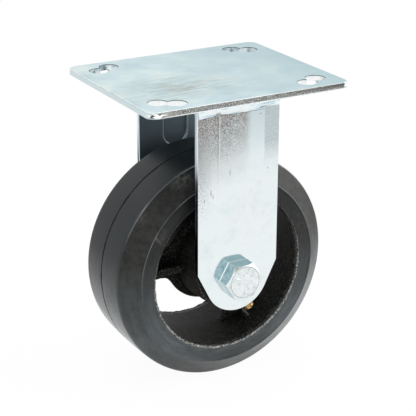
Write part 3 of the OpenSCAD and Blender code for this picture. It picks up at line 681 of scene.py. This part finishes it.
def cut(bm, place, normal, **cleared):
    """Cuts every face where it crosses a plane."""
    bmesh.ops.bisect_plane(bm, geom=bm.verts[:] + bm.edges[:] + bm.faces[:],
                           plane_co=place, plane_no=normal, **cleared)


def full_spin(bm, geom, steps):
    """Spins an outline once round the axle and closes it."""
    bmesh.ops.spin(bm, geom=geom, cent=axle, axis=(0, 1, 0), dvec=(0, 0, 0), angle=math.tau,
                   steps=steps, use_merge=True, use_duplicate=False)


def round_edges(bm, radius, over=28, segments=3):
    """Rounds the edges that turn by more than a number of degrees."""
    whole_faces(bm)
    rounded = bm.faces.layers.float.new("rounded_edge")
    sharp = [e for e in bm.edges
             if len(e.link_faces) == 2 and e.calc_face_angle() > math.radians(over)]
    made = bmesh.ops.bevel(bm, geom=sharp, offset=radius * MM, offset_type="OFFSET",
                           segments=segments, profile=0.5, affect="EDGES", material=-1,
                           clamp_overlap=True)
    for face in made["faces"]:
        face[rounded] = 1.0
    print(len(sharp), "edges rounded")


def new_mesh(bm, name):
    mesh = bpy.data.meshes.new(name)
    bm.to_mesh(mesh)
    bm.free()
    return mesh


def new_object(name, data):
    """Puts a mesh, lamp or camera into the scene."""
    made = bpy.data.objects.new(name, data)
    bpy.context.scene.collection.objects.link(made)
    return made


def finish_piece(bm, name, finish, body, replaces, weighted=True, angle=180):
    """Makes the object, shades it smooth, ties it to its body, and hides the CAD nodes it replaces.
    """
    mesh = new_mesh(bm, name)
    mesh.materials.append(finish)
    mesh.shade_smooth()
    if angle < 180:
        mesh.set_sharp_from_angle(angle=math.radians(angle))
    piece = new_object(name, mesh)
    if weighted:
        even = piece.modifiers.new("even_shading", "WEIGHTED_NORMAL")
        even.keep_sharp = True
    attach(piece, body)
    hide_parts(*replaces)
    print(f"{name}: {len(mesh.polygons)} faces")
    return piece


print("the helpers are ready")

# %% [markdown]
# ## The plate
# A sheared plate with four double holes, each two overlapping round punchings. Shear and
# punch roll the steel's edges over by about a third of a millimetre.

# %% Top plate
bm = merged_copy("top_plate")
round_edges(bm, 0.35)
finish_piece(bm, "plated_plate", plate_zinc, "frame", ["top_plate"])

# %% [markdown]
# ## The fork
# One strap, cut to shape and bent twice. The rounding is small, because the press sheared
# the strap's edges too. The round ends, the pockets and the axle holes keep their form.

# %% Fork
bm = merged_copy("fork")
round_edges(bm, 0.3)
finish_piece(bm, "bent_fork", fork_zinc, "frame", ["fork"])

# %% [markdown]
# ## The weld beads
# A bead is a row of small frozen pools. It starts thick and drooping, runs evenly, and
# tapers where the arc was broken off. The CAD bead is a plain extrusion, so its copy is cut
# into thin slices, and each slice is swollen, thinned or let down as the pools were.

# %% Weld beads
bend = 8.6 * MM
bead_half = 23.2 * MM
widened = 1.03
bend_y = leg_out - bend
bend_z = plate_lo.z - bend
# How far the lower edge hangs down, in mm, from the bead's left end to its right one
droop = [(-23.2, 1.5), (-20, 1.1), (-13, 0.2), (-4, 1.0), (5, 1.1), (15, 0.1), (20, -0.7),
         (23.2, -1.4)]


def between(table, x):
    """Straight-line value from a short table of measured points."""
    for (x0, v0), (x1, v1) in zip(table, table[1:]):
        if x <= x1:
            return v0 + (v1 - v0) * min(max((x - x0) / (x1 - x0), 0), 1)
    return table[-1][1]


def shape_bead(bm, side, seed):
    """Swells, thins and lets down the slices of a bead, as the frozen pools were."""
    half = widened * max(v.co.x for v in bm.verts)
    for v in bm.verts:
        v.co.x *= widened
        x, y, z = v.co.x, v.co.y * side, v.co.z
        level = max(z - bend_z, 0)
        strap_y = bend_y + math.sqrt(max(bend ** 2 - level ** 2, 0))
        thick = y - strap_y
        if thick < 0.15 * MM:
            continue
        wander = 2.2 * noise.noise(Vector((x * 180, seed, 0)))
        pool = 0.05 * math.cos(x / (1.5 * MM) * math.tau + wander)
        lump = 0.12 * noise.noise(Vector((x * 260, z * 300, seed)))
        end = min(max((half - abs(x)) / (4.5 * MM), 0), 1)
        taper = 0.45 + 0.55 * math.sqrt(end)
        v.co.y = side * (strap_y + thick * taper * (1 + pool + lump))
        low = min(max((plate_lo.z - z) / (7.5 * MM), 0), 1)
        uneven = 0.25 * MM * noise.noise(Vector((x * 420, seed, 4)))
        v.co.z -= low * (between(droop, x / MM * -side) * MM + uneven)


slices = 70
for side, node in ((-1, "weld_bead_near"), (1, "weld_bead_far")):
    bm = merged_copy(node)
    whole_faces(bm)
    for i in range(1, slices):
        cut(bm, (-bead_half + 2 * bead_half * i / slices, 0, 0), (1, 0, 0))
    shape_bead(bm, side, 3.1 + side)
    finish_piece(bm, node.replace("bead", "pools"), weld_zinc, "frame", [node],
                 weighted=False, angle=55)

# %% [markdown]
# ## The axle bolt
# The bolt has a forged hexagon head with a chamfered face, a plain shank that fills the
# bearing, and a thread from the nut outwards. The head's face carries three raised strokes,
# which say on any such bolt how strong its steel is. The shank copy is cut off inside the
# nut, and a real helix goes on from there: one V of the thread, spun with a step along the
# axle for each turn. Pitch 1.954 mm is the usual coarse pitch for a half-inch bolt.

# %% Bolt head and shank
nut_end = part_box("lock_nut")[1].y
bolt_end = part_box("axle_bolt")[1].y
cut_y = nut_end - 3 * MM
bm = merged_copy("axle_bolt")
whole_faces(bm)
cut(bm, (0, cut_y, 0), (0, 1, 0), clear_outer=True)
bmesh.ops.holes_fill(bm, edges=[e for e in bm.edges if e.is_boundary])
round_edges(bm, 0.32)
for turn in (90, 210, 330):
    stroke = bmesh.ops.create_cube(bm, size=1.0)["verts"]
    bmesh.ops.scale(bm, vec=(3.4 * MM, 0.5 * MM, 0.8 * MM), verts=stroke)
    edges = {e for v in stroke for e in v.link_edges}
    bmesh.ops.bevel(bm, geom=list(edges), offset=0.15 * MM, segments=2, profile=0.5,
                    affect="EDGES", material=-1)
    # The bevel made new points, and nothing else of the bolt lies near the origin
    stroke = [v for v in bm.verts if abs(v.co.y) < 1 * MM and abs(v.co.z) < 1 * MM]
    bmesh.ops.translate(bm, vec=(5.3 * MM, 0, 0), verts=stroke)
    bmesh.ops.rotate(bm, cent=(0, 0, 0), matrix=Matrix.Rotation(math.radians(turn), 3, "Y"),
                     verts=stroke)
    bmesh.ops.translate(bm, vec=(0, head_y, axle.z), verts=stroke)
finish_piece(bm, "hexagon_bolt", fastener_zinc, "frame", ["axle_bolt"])

# %% Bolt thread
pitch, steps, turns = 1.954 * MM, 40, 6
bm = bmesh.new()
profile = [(6.35, 0.0), (5.35, 0.42), (5.35, 0.58), (6.35, 1.0)]
wire = [bm.verts.new((r * MM, cut_y - pitch + p * pitch, axle.z)) for r, p in profile]
edges = [bm.edges.new(pair) for pair in zip(wire, wire[1:])]
# The step along the axle makes the spin a helix
bmesh.ops.spin(bm, geom=wire + edges, cent=axle, axis=(0, 1, 0), dvec=(0, pitch / steps, 0),
               angle=math.tau * turns, steps=steps * turns, use_duplicate=False)
bmesh.ops.remove_doubles(bm, verts=bm.verts, dist=0.01 * MM)
for level, outer in ((cut_y, False), (bolt_end, True)):
    cut(bm, (0, level, 0), (0, 1, 0), clear_outer=outer, clear_inner=not outer)
    rim = [e for e in bm.edges
           if e.is_boundary and all(abs(v.co.y - level) < 0.01 * MM for v in e.verts)]
    bmesh.ops.contextual_create(bm, geom=rim)
# The bolt's end is chamfered at 45 degrees
end_radius = 5.2 * MM
for v in bm.verts:
    reach = v.co - axle
    reach.y = 0
    allowed = end_radius + (bolt_end - v.co.y)
    if reach.length > allowed:
        reach *= allowed / reach.length
        v.co.x, v.co.z = reach.x, axle.z + reach.z
bmesh.ops.recalc_face_normals(bm, faces=bm.faces)
finish_piece(bm, "bolt_thread", fastener_zinc, "frame", ["axle_bolt"],
             weighted=False, angle=40)

# %% [markdown]
# ## The lock nut
# A hexagon with a round collar that holds the nylon ring. The CAD shape is complete, and
# only its edges are rounded.

# %% Lock nut
bm = merged_copy("lock_nut")
round_edges(bm, 0.22)
finish_piece(bm, "lock_nut_body", fastener_zinc, "frame", ["lock_nut"])

# %% [markdown]
# ## The cast wheel
# Molten iron filled a sand mould, so nothing on the wheel has a sharp corner: each edge is
# rounded, each inner corner has a fillet, and the surface rises and falls a little. Bevels
# can't follow where ribs, web and rim run into each other. A voxel remesh rebuilds the whole
# skin in 0.8 mm cells instead, smoothing melts its steps, and noise gives the uneven cast
# skin. The bore is machined on the real wheel, so its points go back to the true radius.

# %% Wheel casting
bm = merged_copy("wheel_core")
source = new_object("casting_source", new_mesh(bm, "casting_source"))
cells = source.modifiers.new("cells", "REMESH")
cells.mode = "VOXEL"
cells.voxel_size = 0.8 * MM
melt = source.modifiers.new("melt", "SMOOTH")
melt.factor = 0.5
melt.iterations = 3
melted = source.evaluated_get(bpy.context.evaluated_depsgraph_get())
skin_mesh = bpy.data.meshes.new_from_object(melted)
bpy.data.objects.remove(source)
bm = bmesh.new()
bm.from_mesh(skin_mesh)
bore = 15.08 * MM
hub_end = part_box("wheel_core")[1].y
bm.normal_update()
# Noise reads metres, so 420 gives lumps about 2.4 mm wide and 130 about 8 mm
for v, n in [(v, v.normal.copy()) for v in bm.verts]:
    out = Vector((v.co.x, 0, v.co.z - axle.z))
    if out.length < bore + 0.75 * MM:
        out *= bore / out.length
        v.co.x, v.co.z = out.x, axle.z + out.z
    elif abs(v.co.y) < hub_end - 1 * MM:
        fine, broad = noise.noise(v.co * 420), noise.noise(v.co * 130)
        v.co += n * (0.10 * MM * fine + 0.12 * MM * broad - 0.05 * MM)
    v.co.y = min(max(v.co.y, -hub_end), hub_end)
finish_piece(bm, "iron_casting", iron, "wheel", ["wheel_core"], weighted=False)

# %% [markdown]
# ## The tyre
# The tyre is a solid of revolution, so its half outline is drawn once and spun round the
# axle. The outline's corners are rounded first, with a vertex bevel, because a mould has no
# sharp corners either. A shallow groove in the crown is the line where the mould halves met.

# %% Tyre
bm = bmesh.new()
rim_half = 22.7
right = [(0.0, 63.2), (0.35, 63.49), (6.0, 63.44), (12.0, 63.27), (17.5, 63.0), (18.5, 62.35),
         (25.25, 53.0), (25.55, 52.65), (25.6, 52.1), (25.35, 51.5), (25.12, 45.4), (24.4, 44.4),
         (rim_half, 44.4), (rim_half, 49.6)]
outline = right + [(-y, r) for y, r in reversed(right[1:])]
wire = [bm.verts.new((0, y * MM, axle.z + r * MM)) for y, r in outline]
edges = [bm.edges.new(pair) for pair in zip(wire, wire[1:] + wire[:1])]
bmesh.ops.subdivide_edges(bm, edges=edges, cuts=1)
corners = [v for v in bm.verts if any(
    abs(abs(v.co.y) - y * MM) < 0.01 * MM and abs(v.co.z - axle.z - r * MM) < 0.01 * MM
    for y, r in right[4:6] + right[9:12])]
bmesh.ops.bevel(bm, geom=corners, offset=0.2 * MM, segments=3, profile=0.5, affect="VERTICES",
                material=-1)
full_spin(bm, bm.verts[:] + bm.edges[:], steps=256)
bmesh.ops.recalc_face_normals(bm, faces=bm.faces)
finish_piece(bm, "moulded_tyre", rubber, "wheel", ["rubber_tyre"], weighted=False,
             angle=38)

# %% [markdown]
# ## Torn flash at the tyre's lip
# Where the mould closed on the iron, rubber squeezed out into a thin skin that was torn off
# by hand, and a ragged crumbly line stayed round the opening. A thin strip is spun round,
# and noise moves its points in and out, so that it looks torn and not turned.

# %% Mould flash round the openings
bm = bmesh.new()
for side in (-1, 1):
    strip = [bm.verts.new((0, side * y * MM, axle.z + r * MM))
             for y, r in ((24.2, 44.5), (24.6, 44.0), (25.15, 44.6), (24.9, 45.2))]
    edges = [bm.edges.new(pair) for pair in zip(strip, strip[1:] + strip[:1])]
    full_spin(bm, strip + edges, steps=420)
for v in bm.verts:
    out = Vector((v.co.x, 0, v.co.z - axle.z))
    tear = noise.noise(v.co * 700) * 0.35 + noise.noise(v.co * 240) * 0.3
    out *= 1 - tear * MM / out.length
    v.co.x, v.co.z = out.x, axle.z + out.z
    v.co.y *= 1 + 0.012 * noise.noise(v.co * 520)
bmesh.ops.recalc_face_normals(bm, faces=bm.faces)
finish_piece(bm, "torn_flash", flash_rubber, "wheel", ["rubber_tyre"], weighted=False)

# %% [markdown]
# ## The grease fitting
# A small turned fitting, screwed into the hub. Its CAD shape has the hexagon, the neck and
# the nipple with its hole, so a copy with soft edges is enough.

# %% Grease fitting
bm = merged_copy("grease_fitting")
round_edges(bm, 0.1, segments=2)
finish_piece(bm, "brass_nipple", brass, "wheel", ["grease_fitting"])

# %% [markdown]
# ## The check spring
# Inside the fitting a coil spring holds the ball on its seat. When the grease gun pushes the
# ball in, the spring shortens by the ball's travel. So the spring is a piece of its own, with
# a mesh of its own, and the fitting's axis is read from the ball's joint.

# %% Check spring
bm = merged_copy("check_spring")
inward = Vector(joints["check_ball_slide"]["axis"])
spring = finish_piece(bm, "coil_spring", ground_steel, "wheel",
                      ["check_spring"], weighted=False)
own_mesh(spring)

# %% [markdown]
# ## Floor, light and camera
# The floor is plain and pale. To the camera and to reflections it glows white, and a share
# of plain diffuse white keeps the soft shadow. The world does the same for the background,
# and in reflections its part behind the camera is dimmer, as a room is. Three large soft
# lamps light the object as a light tent does. The camera stands where the photographer's
# did: the view was worked out from the plate's corners and the wheel's rims.

# %% Floor
def seen_white(add):
    """1 for camera, glossy and transmission rays, which see plain white, and 0 for the rest."""
    rays = add("LightPath").outputs
    seen = add("Math MAXIMUM", rays["Is Camera Ray"], rays["Is Glossy Ray"])
    return add("Math MAXIMUM", seen, rays["Is Transmission Ray"])


bm = bmesh.new()
bmesh.ops.create_grid(bm, x_segments=8, y_segments=8, size=4.0)
bmesh.ops.translate(bm, vec=(0, 0, floor_z - 0.02 * MM), verts=bm.verts)
floor = new_object("floor", new_mesh(bm, "floor"))
paper = bpy.data.materials.new("white_paper")
add = blank(paper)
share = add("Math MULTIPLY", seen_white(add), 0.94)
white = add("BsdfDiffuse", (0.9, 0.9, 0.9, 1))
glow = add("Emission", (1, 1, 1, 1), 1.02)
add("OutputMaterial", add("MixShader", share, white, glow))
floor.data.materials.append(paper)
print("floor at", round(floor_z / MM, 2), "mm")

# %% World and lamps
world = bpy.data.worlds.new("light_tent")
bpy.context.scene.world = world
add = blank(world)
_, at_y, at_z = add("SeparateXYZ", add("TexCoord").outputs["Generated"]).outputs
front = add("MapRange", at_y, 0.1, -0.6)
over = add("MapRange", at_z, 0.2, 0.5)
room = add("Math MULTIPLY", front, over)
# The camera itself sees no dim room, only the reflections do
camera_ray = add("LightPath").outputs["Is Camera Ray"]
room = add("Math MULTIPLY", room, add("Math LESS_THAN", camera_ray, 1.0))
backdrop = add("Background", (1, 1, 1, 1), add("MapRange", room, 0.0, 1.0, 1.0, 0.4))
tent = add("Background", (1, 1, 1, 1), 0.38)
add("OutputWorld", add("MixShader", seen_white(add), tent, backdrop))

lamps = {"front_left": ((-0.9, -0.9, 0.5), 1.2, 2.0), "right": ((1.1, -0.5, 0.3), 0.9, 8.0),
         "above": ((0.0, 0.2, 1.1), 2.2, 10.0)}
for name, (spot, width, watts) in lamps.items():
    data = bpy.data.lights.new(name, "AREA")
    data.shape = "SQUARE"
    data.size = width
    data.energy = watts
    lamp = new_object(name, data)
    lamp.location = spot
    towards = Vector((0, 0, -0.08)) - lamp.location
    lamp.rotation_euler = towards.to_track_quat("-Z", "Y").to_euler()
print(len(lamps), "lamps and a white tent")

# %% Camera
azimuth, elevation, roll = (math.radians(v) for v in (-29.831, 21.408, 0.186))
back = Vector((math.sin(azimuth) * math.cos(elevation), -math.cos(azimuth) * math.cos(elevation),
               math.sin(elevation)))
level = Vector((math.cos(azimuth), math.sin(azimuth), 0))
upward = back.cross(level)
right_axis = level * math.cos(roll) + upward * math.sin(roll)
up_axis = upward * math.cos(roll) - level * math.sin(roll)
aim = Vector((0, 0, -101.6 * MM))
distance, shift_right, shift_up = 719.159, 1.303, 24.583
spot = back * distance * MM + right_axis * shift_right * MM + up_axis * shift_up * MM + aim
focal_px, picture_px, sensor = 1304.365, 416, 36
camera_data = bpy.data.cameras.new("studio_camera")
camera_data.sensor_width = sensor
camera_data.lens = focal_px / picture_px * sensor
camera = new_object("studio_camera", camera_data)
turn = Matrix((right_axis, up_axis, back)).transposed().to_4x4()
camera.matrix_world = Matrix.Translation(spot) @ turn
bpy.context.scene.camera = camera
bpy.context.scene.view_settings.view_transform = "Standard"
print("lens", round(camera_data.lens, 2), "mm, distance", round(spot.length, 3), "m")

# %% Update the scene
bpy.context.view_layer.update()
